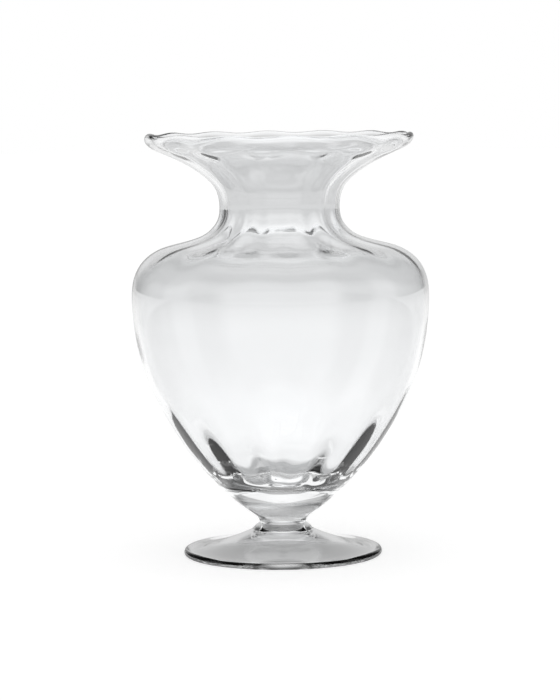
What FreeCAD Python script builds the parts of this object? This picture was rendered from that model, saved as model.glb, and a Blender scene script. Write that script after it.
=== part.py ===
# A clear blown-glass bulb vase: an urn-shaped vessel with a flared, softly scalloped mouth, on a
# short collar and a round foot. Three gathers of glass, fused face to face while hot.
# Millimetres, +Z up, origin on the table at the middle of the foot.
import FreeCAD, Part
import math
import os

Vector = FreeCAD.Vector

# Foot: a spun disc that sweeps up to a hub in the middle, hollow underneath
foot_radius = 47.4
foot_edge_thickness = 3.5  # the edge is half round
foot_ring_width = 2.6  # the flat ring that the vase stands on
foot_hub_radius = 14.4
foot_hub_height = 8.9  # from the top of the edge up to the collar
foot_hollow_height = 10.6  # up to the edge of the pontil mark
pontil_radius = 8.0  # the ground dimple in the middle of the hollow
pontil_depth = 0.3

# Collar: the ring of glass between the foot and the vessel
collar_height = 3.2
collar_swell = 0.4  # how far its side bulges

# Vessel: radii are of the outside, and heights are stacked from the collar up
base_radius = 10.8
belly_radius = 70.6
throat_radius = 28.5
mouth_radius = 63.6
bowl_height = 106.3  # from the collar to the belly
shoulder_height = 43.7  # from the belly to the throat
neck_height = 33.6  # from the throat to the middle of the lip

# Wall thickness at each level: the bubble was blown into a heavy bottom
base_wall = 10.5
heel_wall = 8.5
heel_height = 20.4  # from the collar up
flank_wall = 2.6
flank_height = 38.0  # from the collar up
belly_wall = 2.1
throat_wall = 2.2
neck_wall = 2.4  # where the neck runs into the lip
lip_thickness = 3.0

# Floor of the cavity
floor_thickness = 18.5  # of solid glass above the collar
floor_radius = 2.0  # of its flat middle
floor_rounding = 4.0

# Optic ribs inside the wall, which fade out where the bowl was blown widest
rib_count = 14
rib_turn = 18.0  # degrees from +X to the first crest
bowl_rib_depth = 0.40
throat_rib_depth = 0.25
neck_rib_depth = 0.15
lip_wave = 0.45  # how far the lip rises and dips

# The outlines, as shares of the radius and of the height between two levels
foot_sweep_share = (0.42, 0.42)
foot_hollow_share = (0.53, 0.415)
bowl_shares = [(0.020, 0.023), (0.086, 0.053), (0.186, 0.096), (0.300, 0.155), (0.515, 0.288),
               (0.724, 0.461), (0.898, 0.667), (0.985, 0.888)]
shoulder_shares = [(0.993, 0.163), (0.955, 0.304), (0.891, 0.411), (0.797, 0.499), (0.687, 0.561),
                   (0.506, 0.614), (0.287, 0.672), (0.162, 0.726), (0.081, 0.793), (0.023, 0.880)]
neck_shares = [(0.010, 0.140), (0.055, 0.280), (0.173, 0.425), (0.353, 0.569), (0.594, 0.708),
               (0.858, 0.836)]
lip_underside_share = (0.965, 0.915)
rib_peak_share = 0.29  # of the bowl's height, where its ribs are deepest
rib_fade_share = 0.66  # of the bowl's height, where they have faded out
wave_start_share = 0.45  # of the neck's height, where the lip's wave begins

# How finely the ribs and the lip are drawn
poles_per_rib = 6
lip_steps = 2  # from the lip's widest point to its top

# Levels, stacked from the table up
hub_level = foot_edge_thickness + foot_hub_height
collar_level = hub_level + collar_height
belly_level = collar_level + bowl_height
throat_level = belly_level + shoulder_height
lip_level = throat_level + neck_height
floor_level = collar_level + floor_thickness


def eased(height, stations):
    """The value at a height, eased from one (height, value) station to the next."""
    if height <= stations[0][0]:
        return stations[0][1]
    for (low, start), (high, end) in zip(stations, stations[1:]):
        if height <= high:
            share = (height - low) / (high - low)
            return start + (end - start) * share * share * (3 - 2 * share)
    return stations[-1][1]


def wall_at(height):
    return eased(height, [(collar_level, base_wall), (collar_level + heel_height, heel_wall),
                          (collar_level + flank_height, flank_wall), (belly_level, belly_wall),
                          (throat_level, throat_wall), (lip_level, neck_wall)])


def rib_at(height):
    return eased(height, [(floor_level, 0), (collar_level + rib_peak_share * bowl_height, bowl_rib_depth),
                          (collar_level + rib_fade_share * bowl_height, 0), (belly_level, 0),
                          (throat_level, throat_rib_depth), (lip_level, neck_rib_depth)])


def rise_at(height):
    return eased(height, [(throat_level + wave_start_share * neck_height, 0), (lip_level, lip_wave)])


def between(shares, low, high):
    """Outline points, from shares of the way between two (radius, height) corners."""
    return [(low[0] + r * (high[0] - low[0]), low[1] + z * (high[1] - low[1])) for r, z in shares]


def outside_of_vessel():
    """Points up the outside, from the collar to just under the lip."""
    base = (base_radius, collar_level)
    belly = (belly_radius, belly_level)
    throat = (throat_radius, throat_level)
    mouth = (mouth_radius, lip_level)
    shoulder = between(shoulder_shares, (throat_radius, belly_level), (belly_radius, throat_level))
    return ([base] + between(bowl_shares, base, belly) + [belly] + shoulder + [throat]
            + between(neck_shares, throat, mouth) + between([lip_underside_share], throat, mouth))


def facings(points):
    """Unit normals to the right of the way an outline runs, which is outward going up."""
    found = []
    for i in range(len(points)):
        before, after = points[max(i - 1, 0)], points[min(i + 1, len(points) - 1)]
        run, climb = after[0] - before[0], after[1] - before[1]
        length = math.hypot(run, climb)
        found.append((climb / length, -run / length))
    return found


def vessel_outline():
    """Points up the outside, over the lip and down the inside to the floor of the cavity, each as
    (radius, height, radial swing of a rib, vertical swing of a rib), and which one tops the lip."""
    outside = outside_of_vessel()
    inside = []
    for (radius, height), (out, up) in zip(outside, facings(outside)):
        wall, rib, rise = wall_at(height), rib_at(height), rise_at(height)
        inside.append((radius - out * wall, height - up * wall, -out * rib, rise - up * rib))
    # The lip rounds off what the wall would end in, so its own points take over there
    inside = inside[:-1]
    lip_radius = lip_thickness / 2
    lip = []
    for step in range(2 * lip_steps + 1):
        turn = math.pi / 2 * step / lip_steps
        lip.append((mouth_radius - lip_radius + lip_radius * math.cos(turn),
                    lip_level + lip_radius * math.sin(turn), 0, lip_wave))
    corner = (floor_radius + floor_rounding, floor_level + floor_rounding)
    clear = [p for p in inside if p[0] > corner[0] and p[1] > corner[1]]
    floor = [(corner[0], floor_level + floor_rounding / 5, 0, 0), (floor_radius, floor_level, 0, 0)]
    up_the_outside = [(radius, height, 0, rise_at(height)) for radius, height in outside]
    return up_the_outside + lip + clear[::-1] + floor, len(outside) + lip_steps


def interpolated(points, parameters):
    curve = Part.BSplineCurve()
    curve.interpolate(Points=[Vector(*p) for p in points], Parameters=parameters)
    return curve


def ribbed_bands(outline, top):
    """The outline turned about +Z, with the ribs as a cosine round it: the outside up to the
    outline's top point, and the inside down from there."""
    parameters = [0.0]
    for a, b in zip(outline, outline[1:]):
        parameters.append(parameters[-1] + math.hypot(b[0] - a[0], b[1] - a[1]))
    # Two curves with the same knots: their third coordinates carry the ribs' two swings
    across = interpolated([(r, z, swing) for r, z, swing, rise in outline], parameters)
    upward = interpolated([(r, z, rise) for r, z, swing, rise in outline], parameters)
    count = rib_count * poles_per_rib
    # A cubic spline runs a little inside a ring of poles, and inside a wave of them
    ring_share = (2 + math.cos(2 * math.pi / count)) / 3
    wave_share = (2 + math.cos(2 * math.pi / poles_per_rib)) / 3
    rings = []
    for i in range(count):
        angle = math.radians(rib_turn) + 2 * math.pi * i / count
        wave = math.cos(2 * math.pi * i / poles_per_rib) / wave_share
        ring = []
        for a, u in zip(across.getPoles(), upward.getPoles()):
            radius = (a.x + a.z * wave) / ring_share
            ring.append(Vector(radius * math.cos(angle), radius * math.sin(angle), a.y + u.z * wave))
        rings.append(ring)
    surface = Part.BSplineSurface()
    surface.buildFromPolesMultsKnots(rings, [1] * (count + 1), across.getMultiplicities(),
                                     [float(i) for i in range(count + 1)], across.getKnots(),
                                     True, False, 3, across.Degree)
    bands = []
    for start, end in ((0, parameters[top]), (parameters[top], parameters[-1])):
        band = surface.copy()
        band.segment(0, count, start, end)
        bands.append(band.toShape())
    return bands


def disc_at(band, level):
    """The flat disc in a band's round edge at a level."""
    edge = min(band.Edges, key=lambda e: abs(e.CenterOfMass.z - level) + e.BoundBox.ZLength)
    return Part.Face(Part.Wire(edge))


def vessel():
    outside, inside = ribbed_bands(*vessel_outline())
    shell = Part.makeShell([outside, inside, disc_at(outside, collar_level), disc_at(inside, floor_level)])
    shell.sewShape()
    return Part.makeSolid(shell)


def at(radius, height):
    return Vector(radius, 0, height)


def line(a, b):
    return Part.LineSegment(a, b).toShape()


def arc(a, middle, b):
    return Part.Arc(a, middle, b).toShape()


def turned(edges):
    """The solid that a closed run of edges in the XZ plane makes when it is turned about +Z."""
    return Part.Face(Part.Wire(edges)).revolve(Vector(0, 0, 0), Vector(0, 0, 1), 360)


def collar():
    top, bottom = at(base_radius, collar_level), at(foot_hub_radius, hub_level)
    middle = (top + bottom) / 2 + Vector(collar_swell, 0, 0)
    top_centre, bottom_centre = at(0, collar_level), at(0, hub_level)
    return turned([line(bottom_centre, bottom), arc(bottom, middle, top), line(top, top_centre),
                   line(top_centre, bottom_centre)])


def dome_height(radius, width, rise):
    """How high a shallow round dome stands at a radius, from its own rise in the middle."""
    ball = (width * width + rise * rise) / (2 * rise)
    return rise - ball + math.sqrt(ball * ball - radius * radius)


def foot():
    hub, hub_centre = at(foot_hub_radius, hub_level), at(0, hub_level)
    edge_radius = foot_edge_thickness / 2
    ring_outside = at(foot_radius - edge_radius, 0)
    ring_inside = ring_outside - Vector(foot_ring_width, 0, 0)
    edge_top = at(ring_outside.x, foot_edge_thickness)
    sweep_middle = between([foot_sweep_share], (hub.x, edge_top.z), (edge_top.x, hub.z))[0]
    sweep = arc(hub, at(*sweep_middle), edge_top)
    edge = arc(edge_top, at(foot_radius, edge_radius), ring_outside)
    pontil_edge, pontil_top = at(pontil_radius, foot_hollow_height), at(0, foot_hollow_height + pontil_depth)
    half = pontil_radius / 2
    pontil_middle = at(half, foot_hollow_height + dome_height(half, pontil_radius, pontil_depth))
    pontil = arc(pontil_edge, pontil_middle, pontil_top)
    hollow_middle = between([foot_hollow_share], (pontil_edge.x, 0), (ring_inside.x, pontil_edge.z))[0]
    under = arc(ring_inside, at(*hollow_middle), pontil_edge)
    return turned([line(hub_centre, hub), sweep, edge, line(ring_outside, ring_inside), under, pontil,
                   line(pontil_top, hub_centre)])


def main():
    os.makedirs("parts", exist_ok=True)
    for name, solid in (("foot", foot()), ("collar", collar()), ("vessel", vessel())):
        solid.exportStep(os.path.join("parts", name + ".step"))
        box = solid.BoundBox
        print(name, "valid", solid.isValid(), "solids", len(solid.Solids), "volume", round(solid.Volume, 1),
              "width", round(box.XLength, 2), "from", round(box.ZMin, 2), "to", round(box.ZMax, 2))


main()
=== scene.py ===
"""A clear blown-glass bulb vase: ribbed vessel, collar and foot, on a plain white table."""
import math

import bpy
import numpy as np
from mathutils import Matrix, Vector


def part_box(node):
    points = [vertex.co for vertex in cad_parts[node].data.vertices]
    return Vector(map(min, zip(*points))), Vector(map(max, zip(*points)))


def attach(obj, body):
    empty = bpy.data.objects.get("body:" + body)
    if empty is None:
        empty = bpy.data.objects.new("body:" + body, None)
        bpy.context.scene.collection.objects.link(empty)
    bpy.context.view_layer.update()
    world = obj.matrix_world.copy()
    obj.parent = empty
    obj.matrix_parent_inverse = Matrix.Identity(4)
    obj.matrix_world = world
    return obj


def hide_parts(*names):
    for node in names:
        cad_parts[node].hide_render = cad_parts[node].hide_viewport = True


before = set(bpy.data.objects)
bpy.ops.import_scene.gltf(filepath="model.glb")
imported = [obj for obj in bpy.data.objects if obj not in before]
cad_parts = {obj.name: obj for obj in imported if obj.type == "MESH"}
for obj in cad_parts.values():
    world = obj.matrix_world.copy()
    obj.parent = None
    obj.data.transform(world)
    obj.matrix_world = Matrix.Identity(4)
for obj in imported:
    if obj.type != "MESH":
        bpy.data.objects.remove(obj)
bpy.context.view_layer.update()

# What the frame says. Metres from here on, +Z up, origin on the table at the middle of the foot.
FOOT_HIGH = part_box("foot")[1]
COLLAR_LOW, COLLAR_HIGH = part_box("collar")
VESSEL_LOW, VESSEL_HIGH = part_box("vessel")
MM = 0.001
CURVE_BULGE = 0.03 * MM  # how far a smooth outline runs past its widest point
HUB_LEVEL = COLLAR_LOW.z
COLLAR_LEVEL = VESSEL_LOW.z
FOOT_RADIUS = FOOT_HIGH.x
BELLY_RADIUS = VESSEL_HIGH.x - CURVE_BULGE
TOP = VESSEL_HIGH.z

# Vessel: radii are of the outside, heights are from one level to the next
BASE_RADIUS = 10.8 * MM
THROAT_RADIUS = 28.5 * MM
MOUTH_RADIUS = 63.6 * MM
BOWL_HEIGHT = 106.3 * MM
SHOULDER_HEIGHT = 43.7 * MM

# Wall thickness at each level
BASE_WALL = 10.5 * MM
HEEL_WALL = 8.5 * MM
HEEL_HEIGHT = 20.4 * MM  # above the collar
FLANK_WALL = 2.6 * MM
FLANK_HEIGHT = 38.0 * MM  # above the collar
BELLY_WALL = 2.1 * MM
THROAT_WALL = 2.2 * MM
NECK_WALL = 2.4 * MM
LIP_THICKNESS = 3.0 * MM

# Floor of the cavity
FLOOR_RADIUS = 2.0 * MM
FLOOR_THICKNESS = 18.5 * MM
FLOOR_ROUNDING = 4.0 * MM

# Optic ribs inside the wall, which fade out where the bowl was blown widest
RIBS = 14
RIB_TURN = math.radians(18.0)
BOWL_RIB = 0.40 * MM
THROAT_RIB = 0.25 * MM
NECK_RIB = 0.15 * MM
LIP_WAVE = 0.45 * MM  # how far the rim rises and dips with them

# Collar and foot
HUB_RADIUS = COLLAR_HIGH.x
COLLAR_SWELL = 0.4 * MM
FOOT_EDGE = 3.5 * MM
FOOT_RING_WIDTH = 2.6 * MM
FOOT_HOLLOW = 10.6 * MM
PONTIL_RADIUS = 8.0 * MM
PONTIL_DEPTH = 0.3 * MM

# The outlines, as shares of the radius and of the height between two levels
FOOT_SWEEP_SHARE = (0.42, 0.42)
FOOT_HOLLOW_SHARE = (0.53, 0.415)
BOWL_SHARES = [(0.020, 0.023), (0.086, 0.053), (0.186, 0.096), (0.300, 0.155), (0.515, 0.288),
               (0.724, 0.461), (0.898, 0.667), (0.985, 0.888)]
SHOULDER_SHARES = [(0.993, 0.163), (0.955, 0.304), (0.891, 0.411), (0.797, 0.499), (0.687, 0.561),
                   (0.506, 0.614), (0.287, 0.672), (0.162, 0.726), (0.081, 0.793), (0.023, 0.880)]
NECK_SHARES = [(0.010, 0.140), (0.055, 0.280), (0.173, 0.425), (0.353, 0.569), (0.594, 0.708),
               (0.858, 0.836)]
LIP_UNDERSIDE_SHARE = (0.965, 0.915)
RIB_PEAK_SHARE = 0.29  # of the bowl's height, where its ribs are deepest
RIB_FADE_SHARE = 0.66  # of the bowl's height, where they have faded out
WAVE_START_SHARE = 0.45  # of the neck's height, where the lip's wave begins

# How finely the pieces are drawn
COLUMNS_PER_RIB = 18
COLUMNS = RIBS * COLUMNS_PER_RIB
OUTLINE_STEPS = 6  # from one outline point to the next
LIP_STEPS = 2  # from the lip's widest point to its top
EDGE_STEPS = 16  # round the foot's edge
SWEEP_STEPS = 40  # from the foot's edge up to its hub
HOLLOW_STEPS = 32  # from the pontil mark to the ring that the foot stands on
PONTIL_STEPS = 8  # from the axis to the pontil mark's edge
CREASE_ANGLE = math.radians(28)  # edges that turn more than this stay sharp

# Where a piece's materials are in its list
CLEAR = 0
FUSED = 1
GROUND = 2

# Glass
GLASS_TINT = (0.983, 0.989, 0.994)
GLASS_INDEX = 1.5
RIPPLE_SCALE = 22
RIPPLE_DETAIL = 1
RIPPLE_STRENGTH = 0.12
RIPPLE_DEPTH = 0.6 * MM
GROUND_TINT = (0.97, 0.975, 0.975)
GROUND_ROUGHNESS = 0.35
GLOSSY_BOUNCES = 8  # deep enough for light that runs along inside the wall

# The table, which is white to the camera
TABLE_REACH = 8.0
TABLE_GAP = 0.03 * MM  # under the foot, so that the two never lie in one plane
TABLE_TONE = 0.7  # of its surface, which takes the vase's shadow
TABLE_GLOW = 0.69  # added to that, which keeps the shadow soft

# What the glass sees in the table's place: a painted pool of light that dims away from the vase, with a
# painted shadow under the foot. Brightness at shares of the reach from the vase
PAINTED_LIGHT_REACH = 3.0
# The first two stops are the painted shadow under the foot, the rest the painted pool of light
PAINTED_LIGHT_AND_SHADOW = [(0.0, 0.34), (0.0152, 0.39),  # under the foot
            (0.017, 1.03), (0.16, 1.03),  # near the vase
            (0.32, 0.92), (0.6, 0.80), (1.0, 0.67)]  # far from it

# The studio: brightness at shares of a quarter turn, from the horizon to straight overhead
SKY = [(0.0, 0.63), (0.035, 0.56), (0.08, 0.64), (0.17, 0.64), (0.27, 0.52),  # the walls
       (0.4, 0.4), (0.5, 0.22), (0.62, 0.35),  # their darker top
       (0.8, 1.15), (1.0, 1.35)]  # soft light overhead
CURTAIN_TOP = (0.45, 0.7)  # between these shares the walls give way to the ceiling

# The walls: how bright at shares of a half turn, from behind the vase round either side to the front
WALLS = [(0.0, 1.08), (0.125, 1.0),  # a pale sweep at the back
         (0.205, 0.15), (0.41, 0.15),  # a dark curtain
         (0.46, 0.9), (0.54, 0.9),  # a pale strip beside the vase
         (0.59, 0.15), (0.67, 0.2),  # a second dark curtain
         (0.78, 1.5), (1.0, 1.5)]  # soft light at the front

# Camera, as the photograph was taken
CAMERA_AWAY = 1.323
CAMERA_HEIGHT = 0.224
CAMERA_ASIDE = -0.5 * MM
AIM_HEIGHT = 0.098
ROLL = math.radians(-0.6)
PIXEL_SIZE = 0.476 * MM  # of the photograph, at the vase's axis
PHOTO_HEIGHT = 700  # pixels
SENSOR = 36.0
CLIP = (0.01, 100)

BELLY_LEVEL = COLLAR_LEVEL + BOWL_HEIGHT
THROAT_LEVEL = BELLY_LEVEL + SHOULDER_HEIGHT
LIP_LEVEL = TOP - LIP_WAVE - LIP_THICKNESS / 2
FLOOR_LEVEL = COLLAR_LEVEL + FLOOR_THICKNESS


def eased(height, stations):
    """The value at a height, eased from one (height, value) station to the next."""
    if height <= stations[0][0]:
        return stations[0][1]
    for (low, start), (high, end) in zip(stations, stations[1:]):
        if height <= high:
            share = (height - low) / (high - low)
            return start + (end - start) * share * share * (3 - 2 * share)
    return stations[-1][1]


def wall_at(height):
    return eased(height, [(COLLAR_LEVEL, BASE_WALL), (COLLAR_LEVEL + HEEL_HEIGHT, HEEL_WALL),
                          (COLLAR_LEVEL + FLANK_HEIGHT, FLANK_WALL), (BELLY_LEVEL, BELLY_WALL),
                          (THROAT_LEVEL, THROAT_WALL), (LIP_LEVEL, NECK_WALL)])


def rib_at(height):
    return eased(height, [(FLOOR_LEVEL, 0), (COLLAR_LEVEL + RIB_PEAK_SHARE * BOWL_HEIGHT, BOWL_RIB),
                          (COLLAR_LEVEL + RIB_FADE_SHARE * BOWL_HEIGHT, 0), (BELLY_LEVEL, 0),
                          (THROAT_LEVEL, THROAT_RIB), (LIP_LEVEL, NECK_RIB)])


def rise_at(height):
    start = THROAT_LEVEL + WAVE_START_SHARE * (LIP_LEVEL - THROAT_LEVEL)
    return eased(height, [(start, 0), (LIP_LEVEL, LIP_WAVE)])


def between(shares, low, high):
    """Outline points, from shares of the way between two (radius, height) corners."""
    return [(low[0] + r * (high[0] - low[0]), low[1] + z * (high[1] - low[1])) for r, z in shares]


def facings(points):
    """Unit normals to the right of the way an outline runs, which is outward going up."""
    found = []
    for i in range(len(points)):
        before, after = points[max(i - 1, 0)], points[min(i + 1, len(points) - 1)]
        run, climb = after[0] - before[0], after[1] - before[1]
        length = math.hypot(run, climb)
        found.append((climb / length, -run / length))
    return found


def smooth(points):
    """A natural cubic spline through rows of numbers, spaced by the length of the first two."""
    p = np.array(points, float)
    t = np.concatenate([[0], np.cumsum(np.hypot(np.diff(p[:, 0]), np.diff(p[:, 1])))])
    h = np.diff(t)[:, None]
    slope = np.diff(p, axis=0) / h
    n = len(p)
    system, right = np.eye(n), np.zeros_like(p)
    for i in range(1, n - 1):
        system[i, i - 1:i + 2] = h[i - 1, 0], 2 * (h[i - 1, 0] + h[i, 0]), h[i, 0]
        right[i] = 6 * (slope[i] - slope[i - 1])
    bend = np.linalg.solve(system, right)
    rows = []
    for i in range(n - 1):
        for step in range(OUTLINE_STEPS):
            x = step / OUTLINE_STEPS * h[i, 0]
            a = (bend[i + 1] - bend[i]) / (6 * h[i, 0])
            b = slope[i] - h[i, 0] * (2 * bend[i] + bend[i + 1]) / 6
            rows.append(p[i] + x * (b + x * (bend[i] / 2 + x * a)))
    rows.append(p[-1])
    return [tuple(float(v) for v in row) for row in rows]


def outside_of_vessel():
    """Points up the outside, from the collar to just under the lip."""
    base = (BASE_RADIUS, COLLAR_LEVEL)
    belly = (BELLY_RADIUS, BELLY_LEVEL)
    throat = (THROAT_RADIUS, THROAT_LEVEL)
    mouth = (MOUTH_RADIUS, LIP_LEVEL)
    shoulder = between(SHOULDER_SHARES, (THROAT_RADIUS, BELLY_LEVEL), (BELLY_RADIUS, THROAT_LEVEL))
    return ([base] + between(BOWL_SHARES, base, belly) + [belly] + shoulder + [throat]
            + between(NECK_SHARES, throat, mouth) + between([LIP_UNDERSIDE_SHARE], throat, mouth))


def vessel_outline():
    """Up the outside, over the lip and down the inside to the floor of the cavity, in rows of
    (radius, height, radial swing of a rib, vertical swing of a rib)."""
    outside = outside_of_vessel()
    inside = []
    for (radius, height), (out, up) in zip(outside, facings(outside)):
        wall, rib, rise = wall_at(height), rib_at(height), rise_at(height)
        inside.append((radius - out * wall, height - up * wall, -out * rib, rise - up * rib))
    # The lip rounds off what the wall would end in, so its own points take over there
    inside = inside[:-1]
    lip_radius = LIP_THICKNESS / 2
    lip = []
    for step in range(2 * LIP_STEPS + 1):
        turn = math.pi / 2 * step / LIP_STEPS
        lip.append((MOUTH_RADIUS - lip_radius + lip_radius * math.cos(turn),
                    LIP_LEVEL + lip_radius * math.sin(turn), 0, LIP_WAVE))
    corner = (FLOOR_RADIUS + FLOOR_ROUNDING, FLOOR_LEVEL + FLOOR_ROUNDING)
    clear = [p for p in inside if p[0] > corner[0] and p[1] > corner[1]]
    floor = [(corner[0], FLOOR_LEVEL + FLOOR_ROUNDING / 5, 0, 0), (FLOOR_RADIUS, FLOOR_LEVEL, 0, 0)]
    return [(r, z, 0, rise_at(z)) for r, z in outside] + lip + clear[::-1] + floor


def ring_of(row):
    """The points of one ring, or the one point where the piece closes on the axis."""
    radius, height, swing, rise = row
    if radius == 0:
        return [(0, 0, height)]
    ring = []
    for i in range(COLUMNS):
        angle = RIB_TURN + 2 * math.pi * i / COLUMNS
        wave = math.cos(2 * math.pi * i * RIBS / COLUMNS)
        r = radius + swing * wave
        ring.append((r * math.cos(angle), r * math.sin(angle), height + rise * wave))
    return ring


def faces_between(low, high):
    """The faces between two rings, either of which may be a single point."""
    faces = []
    for i in range(COLUMNS):
        j = (i + 1) % COLUMNS
        if len(low) == 1:
            faces.append((low[0], high[j], high[i]))
        elif len(high) == 1:
            faces.append((low[i], low[j], high[0]))
        else:
            faces.append((low[i], low[j], high[j], high[i]))
    return faces


def added(name, data):
    """A new object in the scene, for a mesh or a camera."""
    obj = bpy.data.objects.new(name, data)
    bpy.context.scene.collection.objects.link(obj)
    return obj


def turned(name, runs, materials):
    """A closed mesh turned about +Z from runs of rows, each run with its material's place in the list.
    The first and the last run meet the axis, and runs share the ring where they join."""
    rows, row_places = [runs[0][0][0]], []
    for run, place in runs:
        rows += run[1:]
        row_places += [place] * (len(run) - 1)
    verts, rings = [], []
    for row in rows:
        ring = ring_of(row)
        rings.append(range(len(verts), len(verts) + len(ring)))
        verts += ring
    faces, face_places = [], []
    for low, high, place in zip(rings, rings[1:], row_places):
        band = faces_between(low, high)
        faces += band
        face_places += [place] * len(band)
    mesh = bpy.data.meshes.new(name)
    mesh.from_pydata(verts, [], faces)
    for material in materials:
        mesh.materials.append(material)
    mesh.polygons.foreach_set("material_index", face_places)
    mesh.polygons.foreach_set("use_smooth", [True] * len(faces))
    mesh.update()
    mesh.set_sharp_from_angle(angle=CREASE_ANGLE)
    return added(name, mesh)


def plain(rows):
    """Rows without ribs or waves."""
    return [(r, z, 0, 0) for r, z in rows]


def new_material(name):
    material = bpy.data.materials.new(name)
    material.use_nodes = True
    return material


def glass(name):
    """Clear soda glass, with the faint slow ripple that blowing leaves."""
    material = new_material(name)
    nodes, links = material.node_tree.nodes, material.node_tree.links
    shader = nodes["Principled BSDF"]
    shader.inputs["Base Color"].default_value = (*GLASS_TINT, 1)
    shader.inputs["Roughness"].default_value = 0
    shader.inputs["IOR"].default_value = GLASS_INDEX
    shader.inputs["Transmission Weight"].default_value = 1
    place = nodes.new("ShaderNodeTexCoord")
    ripple = nodes.new("ShaderNodeTexNoise")
    ripple.inputs["Scale"].default_value = RIPPLE_SCALE
    ripple.inputs["Detail"].default_value = RIPPLE_DETAIL
    bump = nodes.new("ShaderNodeBump")
    bump.inputs["Strength"].default_value = RIPPLE_STRENGTH
    bump.inputs["Distance"].default_value = RIPPLE_DEPTH
    links.new(place.outputs["Object"], ripple.inputs["Vector"])
    links.new(ripple.outputs["Fac"], bump.inputs["Height"])
    links.new(bump.outputs["Normal"], shader.inputs["Normal"])
    return material


def fused_joint():
    """Where two gathers are fused there is no surface, so nothing shows."""
    material = new_material("fused_joint")
    nodes, links = material.node_tree.nodes, material.node_tree.links
    nodes.remove(nodes["Principled BSDF"])
    clear = nodes.new("ShaderNodeBsdfTransparent")
    links.new(clear.outputs["BSDF"], nodes["Material Output"].inputs["Surface"])
    return material


def ground_glass():
    """The frosted pontil mark under the foot."""
    material = new_material("ground_glass")
    shader = material.node_tree.nodes["Principled BSDF"]
    shader.inputs["Base Color"].default_value = (*GROUND_TINT, 1)
    shader.inputs["Roughness"].default_value = GROUND_ROUGHNESS
    shader.inputs["Transmission Weight"].default_value = 1
    return material


def build_vessel(joint):
    outline = smooth(vessel_outline())
    base = [(0, COLLAR_LEVEL, 0, 0), (BASE_RADIUS / 2, COLLAR_LEVEL, 0, 0), outline[0]]
    floor = [outline[-1], (FLOOR_RADIUS / 2, FLOOR_LEVEL, 0, 0), (0, FLOOR_LEVEL, 0, 0)]
    return turned("vessel_glass", [(base, FUSED), (outline, CLEAR), (floor, CLEAR)],
                  [glass("vessel_glass"), joint])


def build_collar(joint):
    low, high = (HUB_RADIUS, HUB_LEVEL), (BASE_RADIUS, COLLAR_LEVEL)
    middle = ((low[0] + high[0]) / 2 + COLLAR_SWELL, (low[1] + high[1]) / 2)
    side = smooth([low, middle, high])
    under = [(0, HUB_LEVEL), (HUB_RADIUS / 2, HUB_LEVEL), low]
    over = [high, (BASE_RADIUS / 2, COLLAR_LEVEL), (0, COLLAR_LEVEL)]
    return turned("collar_glass", [(plain(under), FUSED), (plain(side), CLEAR), (plain(over), FUSED)],
                  [glass("collar_glass"), joint])


def arc_rows(a, middle, b, steps):
    """Points on the circle through three (radius, height) points, from the first to the last."""
    (ax, ay), (bx, by), (cx, cy) = a, middle, b
    d = 2 * (ax * (by - cy) + bx * (cy - ay) + cx * (ay - by))
    aa, bb, cc = ax * ax + ay * ay, bx * bx + by * by, cx * cx + cy * cy
    x = (aa * (by - cy) + bb * (cy - ay) + cc * (ay - by)) / d
    y = (aa * (cx - bx) + bb * (ax - cx) + cc * (bx - ax)) / d
    size = math.hypot(ax - x, ay - y)
    start = math.atan2(ay - y, ax - x)
    turn = (math.atan2(cy - y, cx - x) - start) % (2 * math.pi)
    if (math.atan2(by - y, bx - x) - start) % (2 * math.pi) > turn:
        turn -= 2 * math.pi
    return [(x + size * math.cos(start + turn * i / steps), y + size * math.sin(start + turn * i / steps))
            for i in range(steps + 1)]


def pontil_rows():
    """The shallow dome of the pontil mark, from the axis out to its edge."""
    ball = (PONTIL_RADIUS * PONTIL_RADIUS + PONTIL_DEPTH * PONTIL_DEPTH) / (2 * PONTIL_DEPTH)
    rows = []
    for i in range(PONTIL_STEPS + 1):
        radius = PONTIL_RADIUS * i / PONTIL_STEPS
        rows.append((radius, FOOT_HOLLOW + PONTIL_DEPTH - ball + math.sqrt(ball * ball - radius * radius)))
    return rows


def build_foot(joint):
    edge_radius = FOOT_EDGE / 2
    ring_outside = (FOOT_RADIUS - edge_radius, 0)
    ring_inside = (ring_outside[0] - FOOT_RING_WIDTH, 0)
    edge_top = (ring_outside[0], FOOT_EDGE)
    hub = (HUB_RADIUS, HUB_LEVEL)
    pontil_edge = (PONTIL_RADIUS, FOOT_HOLLOW)
    sweep_middle = between([FOOT_SWEEP_SHARE], (hub[0], edge_top[1]), (edge_top[0], hub[1]))[0]
    hollow_middle = between([FOOT_HOLLOW_SHARE], (pontil_edge[0], 0), (ring_inside[0], pontil_edge[1]))[0]
    hollow = arc_rows(pontil_edge, hollow_middle, ring_inside, HOLLOW_STEPS)[1:]
    edge = arc_rows(ring_outside, (FOOT_RADIUS, edge_radius), edge_top, EDGE_STEPS)
    sweep = arc_rows(edge_top, sweep_middle, hub, SWEEP_STEPS)[1:]
    over = [hub, (HUB_RADIUS / 2, HUB_LEVEL), (0, HUB_LEVEL)]
    runs = [(plain(pontil_rows()), GROUND), (plain(hollow), CLEAR),
            (plain([ring_inside, ring_outside]), CLEAR), (plain(edge + sweep), CLEAR), (plain(over), FUSED)]
    return turned("foot_glass", runs, [glass("foot_glass"), joint, ground_glass()])


def build_vase():
    joint = fused_joint()
    for build, node, slot in ((build_vessel, "vessel", "vessel_glass"),
                              (build_collar, "collar", "collar_glass"),
                              (build_foot, "foot", "foot_glass")):
        piece = build(joint)
        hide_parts(node)
        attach(piece, "root")


def computed(nodes, links, operation, *values):
    """The output of a Math node that is fed by sockets and plain numbers."""
    node = nodes.new("ShaderNodeMath")
    node.operation = operation
    for socket, value in zip(node.inputs, values):
        if isinstance(value, (int, float)):
            socket.default_value = value
        else:
            links.new(value, socket)
    return node.outputs[0]


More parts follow.
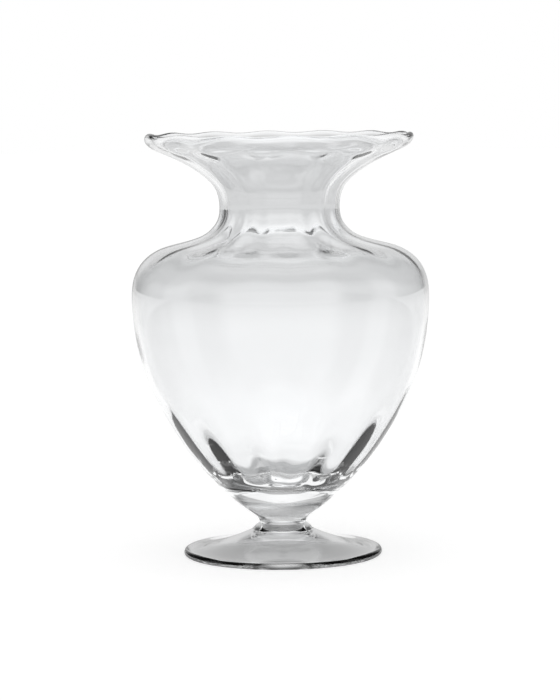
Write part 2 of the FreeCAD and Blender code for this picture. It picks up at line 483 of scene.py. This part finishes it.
def ramped(nodes, links, share, stops):
    """A grey that follows (share, brightness) stops, eased from one to the next."""
    ramp = nodes.new("ShaderNodeValToRGB")
    ramp.color_ramp.interpolation = "EASE"
    elements = ramp.color_ramp.elements
    while len(elements) < len(stops):
        elements.new(0.5)
    for element, (place, value) in zip(elements, stops):
        element.position = place
        element.color = (value, value, value, 1)
    links.new(share, ramp.inputs["Fac"])
    return ramp.outputs["Color"]


def mixed(nodes, links, share, first, second, output):
    """Sends a mix of two shaders to an output node."""
    mix = nodes.new("ShaderNodeMixShader")
    links.new(share, mix.inputs["Fac"])
    links.new(first, mix.inputs[1])
    links.new(second, mix.inputs[2])
    links.new(mix.outputs[0], nodes[output].inputs["Surface"])


def table_material():
    """White with the vase's soft shadow to the camera, and to the glass a painted pool of light that dims
    away from the vase, with a painted shadow under the foot.
    """
    material = new_material("floor")
    nodes, links = material.node_tree.nodes, material.node_tree.links
    nodes.remove(nodes["Principled BSDF"])
    place = nodes.new("ShaderNodeTexCoord")
    away = nodes.new("ShaderNodeVectorMath")
    away.operation = "LENGTH"
    links.new(place.outputs["Object"], away.inputs[0])
    share = computed(nodes, links, "DIVIDE", away.outputs["Value"], PAINTED_LIGHT_REACH)
    # Emission seen only by glossy and transmission rays: the painted pool of light and painted shadow under
    # the foot
    painted_light = nodes.new("ShaderNodeEmission")
    links.new(ramped(nodes, links, share, PAINTED_LIGHT_AND_SHADOW), painted_light.inputs["Color"])
    surface = nodes.new("ShaderNodeBsdfDiffuse")
    surface.inputs["Color"].default_value = (TABLE_TONE, TABLE_TONE, TABLE_TONE, 1)
    glow = nodes.new("ShaderNodeEmission")
    glow.inputs["Strength"].default_value = TABLE_GLOW
    lit = nodes.new("ShaderNodeAddShader")
    links.new(surface.outputs[0], lit.inputs[0])
    links.new(glow.outputs[0], lit.inputs[1])
    path = nodes.new("ShaderNodeLightPath")
    from_glass = computed(nodes, links, "MAXIMUM", path.outputs["Is Glossy Ray"],
                          path.outputs["Is Transmission Ray"])
    mixed(nodes, links, from_glass, lit.outputs[0], painted_light.outputs[0], "Material Output")
    return material


def build_table():
    mesh = bpy.data.meshes.new("floor")
    corners = ((-1, -1), (1, -1), (1, 1), (-1, 1))
    mesh.from_pydata([(x * TABLE_REACH, y * TABLE_REACH, -TABLE_GAP) for x, y in corners], [],
                     [(0, 1, 2, 3)])
    mesh.materials.append(table_material())
    added("floor", mesh)


def wall_level(nodes, links, direction, height):
    """The walls' brightness in a direction, with the ceiling above them left plain."""
    side = computed(nodes, links, "ABSOLUTE", direction.outputs["X"])
    turn = computed(nodes, links, "ARCTAN2", side, direction.outputs["Y"])
    share = computed(nodes, links, "DIVIDE", turn, math.pi)
    ceiling = nodes.new("ShaderNodeMapRange")
    ceiling.interpolation_type = "SMOOTHSTEP"
    ceiling.inputs["From Min"].default_value = CURTAIN_TOP[0]
    ceiling.inputs["From Max"].default_value = CURTAIN_TOP[1]
    links.new(height, ceiling.inputs["Value"])
    level = nodes.new("ShaderNodeMix")
    links.new(ceiling.outputs["Result"], level.inputs[0])
    links.new(ramped(nodes, links, share, WALLS), level.inputs[2])
    level.inputs[3].default_value = 1
    return level.outputs[0]


def build_studio():
    """Plain white to the camera, and soft light from a graded room to everything else."""
    world = bpy.data.worlds.new("studio")
    bpy.context.scene.world = world
    world.use_nodes = True
    nodes, links = world.node_tree.nodes, world.node_tree.links
    white = nodes["Background"]
    white.inputs["Color"].default_value = (1, 1, 1, 1)
    place = nodes.new("ShaderNodeTexCoord")
    direction = nodes.new("ShaderNodeSeparateXYZ")
    links.new(place.outputs["Generated"], direction.inputs[0])
    angle = computed(nodes, links, "ARCSINE", direction.outputs["Z"])
    height = computed(nodes, links, "DIVIDE", angle, math.pi / 2)
    room = nodes.new("ShaderNodeBackground")
    links.new(ramped(nodes, links, height, SKY), room.inputs["Color"])
    links.new(wall_level(nodes, links, direction, height), room.inputs["Strength"])
    path = nodes.new("ShaderNodeLightPath")
    mixed(nodes, links, path.outputs["Is Camera Ray"], room.outputs[0], white.outputs[0], "World Output")


def build_camera():
    drop = CAMERA_HEIGHT - AIM_HEIGHT
    data = bpy.data.cameras.new("camera")
    data.sensor_width = SENSOR
    data.lens = SENSOR * math.hypot(CAMERA_AWAY, drop) / PIXEL_SIZE / PHOTO_HEIGHT
    data.clip_start, data.clip_end = CLIP
    place = Matrix.Translation((CAMERA_ASIDE, -CAMERA_AWAY, CAMERA_HEIGHT))
    pitch = Matrix.Rotation(math.pi / 2 - math.atan2(drop, CAMERA_AWAY), 4, "X")
    camera = added("camera", data)
    camera.matrix_world = place @ pitch @ Matrix.Rotation(ROLL, 4, "Z")
    bpy.context.scene.camera = camera


build_vase()
build_table()
build_studio()
build_camera()
bpy.context.scene.view_settings.view_transform = "Standard"
bpy.context.scene.cycles.glossy_bounces = GLOSSY_BOUNCES
